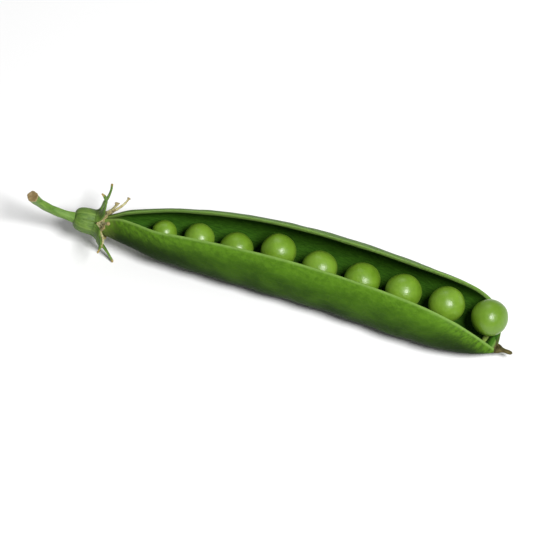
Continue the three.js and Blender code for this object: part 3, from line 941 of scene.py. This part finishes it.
def pod_material():
    """Waxy green, mottled and faintly netted, paler at the neck, the seam and the open edges, with a band
    of painted light below the open edges, painted shade in deep green low on the valves, and brown at the
    dry tip. The inside is fibrous, in a dark green that is painted shade."""
    s = Shader("pod_skin")
    inner, rim, dry = s.tone
    along, above, _ = s.parts(s.skin)
    patches = s.noise(s.laid((0.13, 0.2, 0.3)), 4.0)
    specks = s.noise(s.laid((0.7, 1.0, 1.0)), 5.0, 0.65)
    threads = s.ramp(s.cells(s.laid((0.24, 0.62, 1.0), -0.6)), 0.0, 0.07, 1.0, 0.0)
    small_threads = s.ramp(s.cells(s.laid((0.85, 1.7, 1.0), -0.6)), 0.0, 0.12, 1.0, 0.0)
    fibres = s.noise(s.laid((0.5, 5.0, 1.0), 0.7), 3.0)

    # Painted shade: deep green low on the valves towards the seam, which also raises the roughness there
    belly_shade = s.ramp(s.plus(above, s.times(patches, BORDER_STRAY)), *BELLY_SHADE, 0.95, 0.0)
    # Painted light: a lighter band below the open edges, broken up by the specks
    lit_band = s.times(s.ramp(rim, 0.02, LIT_BAND), s.ramp(specks, 0.35, 0.65, 0.35, 0.9))
    outer = s.mix(s.spread(patches), rgb(44, 78, 6), rgb(64, 102, 13))
    outer = s.mix(s.ramp(specks, 0.45, 0.75, 0.0, 0.35), outer, rgb(80, 116, 22))
    outer = s.mix(s.times(threads, 0.08), outer, rgb(96, 134, 40))
    outer = s.mix(s.times(small_threads, 0.05), outer, rgb(92, 130, 36))
    outer = s.mix(belly_shade, outer, rgb(16, 34, 2))
    outer = s.mix(lit_band, outer, rgb(82, 122, 24))
    outer = s.mix(s.ramp(above, *SUTURE_PALE, 0.6, 0.0), outer, rgb(104, 132, 56))
    # Painted shade: the inside is a dark green that stands for the shade within the pod
    shaded_lining = s.mix(s.ramp(fibres, 0.35, 0.7), rgb(36, 74, 8), rgb(54, 96, 18))

    neck_end = s.ramp(s.plus(along, s.times(specks, BORDER_STRAY)), *NECK_PALE, 0.8, 0.0)
    withered = s.ramp(s.plus(dry, s.times(specks, 0.5)), 0.65, 1.3)
    brown = s.mix(s.ramp(specks, 0.35, 0.65), rgb(54, 50, 24), rgb(98, 90, 54))
    colour = s.mix(inner, outer, shaded_lining)
    colour = s.mix(s.ramp(rim, 0.25, 0.9, 0.0, 0.7), colour, rgb(116, 148, 72))
    colour = s.mix(neck_end, colour, rgb(118, 136, 62))
    colour = s.mix(withered, colour, brown)

    relief = s.bump(specks, 0.12)
    relief = s.bump(small_threads, 0.015, relief)
    relief = s.bump(threads, 0.025, relief)
    relief = s.bump(s.times(fibres, inner), 0.08, relief)
    return s.finish(
        colour, s.plus(s.spread(specks, 0.4, 0.54), s.times(belly_shade, 0.3)), relief,
        Subsurface_Weight=0.1, Subsurface_Radius=(0.6, 1.0, 0.2), Subsurface_Scale=0.8 * MM,
        Specular_IOR_Level=0.11,
    )


def pea_material():
    """Shiny pale green with faint patches and pores, each pea in its own tint, painted shade of a deeper
    green on a pea that stands clear of the pod, and a pale scar."""
    s = Shader("pea_skin")
    tint, scar, bare_shade = s.tone
    patches = s.noise(s.laid((0.28, 0.28, 0.28)), 3.0)
    specks = s.noise(s.laid((1.6, 1.6, 1.6)), 4.0, 0.6)
    pores = s.cells(s.laid((3.2, 3.2, 3.2)), "F1")
    colour = s.mix(s.spread(patches), rgb(86, 121, 21), rgb(103, 139, 35))
    colour = s.mix(s.times(tint, 0.35), colour, rgb(114, 147, 48))
    colour = s.mix(s.ramp(specks, 0.5, 0.75, 0.0, 0.25), colour, rgb(130, 163, 62))
    # Painted shade: a deeper green on a pea that stands clear of the pod
    colour = s.mix(s.times(bare_shade, 0.4), colour, rgb(70, 104, 6))
    colour = s.mix(s.ramp(scar, 0.4, 0.9), colour, rgb(176, 186, 120))
    relief = s.bump(specks, 0.05)
    relief = s.bump(pores, 0.02, relief)
    return s.finish(
        colour, s.spread(specks, 0.3, 0.42), relief,
        Subsurface_Weight=0.2, Subsurface_Radius=(0.8, 1.0, 0.3), Subsurface_Scale=1.2 * MM,
        Specular_IOR_Level=0.42, Coat_Weight=0.08, Coat_Roughness=0.26,
    )


def sepal_material():
    """Dull veined leaf with a pale midrib and a brown point."""
    s = Shader("sepal_green")
    _, edge, point = s.tone
    patches = s.noise(s.laid((0.5, 0.8, 1.0)), 4.0)
    veins = s.noise(s.laid((0.35, 5.5, 1.0)), 2.0)
    midrib = s.ramp(s.math("ABSOLUTE", edge), 0.0, 0.16, 0.6, 0.0)
    withered = s.ramp(s.plus(point, s.times(patches, 0.6)), 0.55, 1.2)
    colour = s.mix(s.spread(patches), rgb(60, 94, 18), rgb(92, 122, 40))
    colour = s.mix(s.ramp(veins, 0.5, 0.68, 0.0, 0.5), colour, rgb(112, 138, 60))
    colour = s.mix(midrib, colour, rgb(118, 144, 66))
    colour = s.mix(withered, colour, rgb(150, 128, 72))
    relief = s.bump(veins, 0.12)
    relief = s.bump(patches, 0.12, relief)
    return s.finish(
        colour, s.spread(patches, 0.5, 0.65), relief,
        Subsurface_Weight=0.15, Subsurface_Radius=(0.6, 1.0, 0.3), Subsurface_Scale=0.5 * MM,
        Specular_IOR_Level=0.4,
    )


def stem_material():
    """Striped green, drying towards a brown cut."""
    s = Shader("stem_green")
    _, cut, dry = s.tone
    stripes = s.noise(s.laid((0.25, 4.0, 1.0)), 3.0)
    specks = s.noise(s.laid((1.8, 2.6, 1.0)), 4.0)
    withered = s.ramp(s.plus(dry, s.times(specks, 0.6)), 0.6, 1.3)
    colour = s.mix(s.ramp(stripes, 0.35, 0.68), rgb(72, 108, 28), rgb(106, 140, 54))
    colour = s.mix(s.ramp(specks, 0.55, 0.75, 0.0, 0.4), colour, rgb(132, 152, 80))
    colour = s.mix(withered, colour, rgb(150, 132, 84))
    colour = s.mix(s.times(cut, s.spread(specks, 0.5, 1.0)), colour, rgb(112, 92, 54))
    relief = s.bump(stripes, 0.14)
    relief = s.bump(specks, 0.06, relief)
    return s.finish(
        colour, s.spread(specks, 0.42, 0.6), relief,
        Subsurface_Weight=0.12, Subsurface_Radius=(0.6, 1.0, 0.3), Subsurface_Scale=0.5 * MM,
        Specular_IOR_Level=0.4,
    )


def straw_material():
    """Dry and papery, streaked, with brown blots and ends."""
    s = Shader("dried_straw")
    _, _, end = s.tone
    streaks = s.noise(s.laid((0.7, 4.5, 1.0)), 4.0, 0.65)
    blots = s.noise(s.laid((0.8, 0.9, 1.0)), 3.0)
    colour = s.mix(s.ramp(streaks, 0.35, 0.7), rgb(150, 140, 88), rgb(206, 204, 158))
    colour = s.mix(s.ramp(blots, 0.5, 0.75, 0.0, 0.6), colour, rgb(128, 100, 58))
    colour = s.mix(s.times(end, 0.55), colour, rgb(122, 96, 54))
    return s.finish(
        colour, s.spread(streaks, 0.7, 0.9), s.bump(streaks, 0.12),
        Subsurface_Weight=0.1, Subsurface_Radius=(1.0, 0.8, 0.4), Subsurface_Scale=0.3 * MM,
        Specular_IOR_Level=0.25,
    )


make_pod(pod_material())
pea_skin = pea_material()
for i in range(pea_count):
    make_pea(i, pea_skin)
make_calyx(sepal_material())
make_stem(stem_material())
straw = straw_material()
make_sleeve(straw)
make_strands(straw)


# The floor, just below the part so that the two don't share a plane
def make_floor(half_metres, drop, grey):
    mesh = bpy.data.meshes.new("floor")
    square = (-1, -1), (1, -1), (1, 1), (-1, 1)
    corners = [(x * half_metres, y * half_metres, -drop * MM) for x, y in square]
    mesh.from_pydata(corners, [], [(0, 1, 2, 3)])
    material = bpy.data.materials.new("floor")
    material.use_nodes = True
    surface = material.node_tree.nodes["Principled BSDF"]
    surface.inputs["Base Color"].default_value = (grey, grey, grey, 1)
    surface.inputs["Roughness"].default_value = 0.8
    surface.inputs["Specular IOR Level"].default_value = 0.2
    mesh.materials.append(material)
    floor = bpy.data.objects.new("floor", mesh)
    bpy.context.scene.collection.objects.link(floor)


make_floor(half_metres=3.0, drop=0.05, grey=0.77)


# Light, in metres and watts: a soft lamp at the front right, a weaker one behind, and a pale surround
def make_lamp(name, way, distance, size, power):
    lamp = bpy.data.lights.new(name, "AREA")
    lamp.shape = "DISK"
    lamp.size = size
    lamp.energy = power
    made = bpy.data.objects.new(name, lamp)
    bpy.context.scene.collection.objects.link(made)
    way = Vector(way).normalized()
    made.location = way * distance
    made.rotation_euler = way.to_track_quat("Z", "Y").to_euler()


make_lamp("key", way=(0.46, -0.3, 0.84), distance=0.7, size=0.24, power=7.2)
make_lamp("back", way=(-0.3, 0.6, 0.75), distance=0.8, size=0.4, power=0.8)

SURROUND = 0.24
world = bpy.data.worlds.new("studio")
world.use_nodes = True
world.node_tree.nodes["Background"].inputs["Color"].default_value = (1, 1, 1, 1)
world.node_tree.nodes["Background"].inputs["Strength"].default_value = SURROUND
scene = bpy.context.scene
scene.world = world
scene.view_settings.view_transform = "Standard"

# The camera looks down at the pod, with the stem at the upper left and the tip at the lower right. Its aim
# and distance, in metres, close in on a picture with the part in its middle.
AZIMUTH = math.radians(22)
ELEVATION = math.radians(55)
LENS = 300
SENSOR = 36
FILL = 0.9  # of the picture's width
FIRST_DISTANCE = 0.5
FRAMING_PASSES = 30
CLIP_START = 0.01
flat_reach = math.cos(ELEVATION)
toward = Vector((math.sin(AZIMUTH) * flat_reach, -math.cos(AZIMUTH) * flat_reach, math.sin(ELEVATION)))
right = Vector((math.cos(AZIMUTH), math.sin(AZIMUTH), 0))
upward = toward.cross(right)
spots = np.concatenate([[v.co for v in node.data.vertices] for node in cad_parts.values()])
x, y, z = (spots @ np.array(axis) for axis in (right, upward, toward))
view_width = SENSOR / LENS
aim_x = aim_y = 0.0
distance = FIRST_DISTANCE
for _ in range(FRAMING_PASSES):
    seen_x, seen_y = (x - aim_x) / (distance - z), (y - aim_y) / (distance - z)
    aim_x += distance * (seen_x.max() + seen_x.min()) / 2
    aim_y += distance * (seen_y.max() + seen_y.min()) / 2
    distance *= (seen_x.max() - seen_x.min()) / (view_width * FILL)
camera = bpy.data.objects.new("camera", bpy.data.cameras.new("camera"))
camera.data.lens = LENS
camera.data.sensor_width = SENSOR
camera.data.clip_start = CLIP_START
camera.location = right * aim_x + upward * aim_y + toward * distance
camera.rotation_euler = toward.to_track_quat("Z", "Y").to_euler()
scene.collection.objects.link(camera)
scene.camera = camera
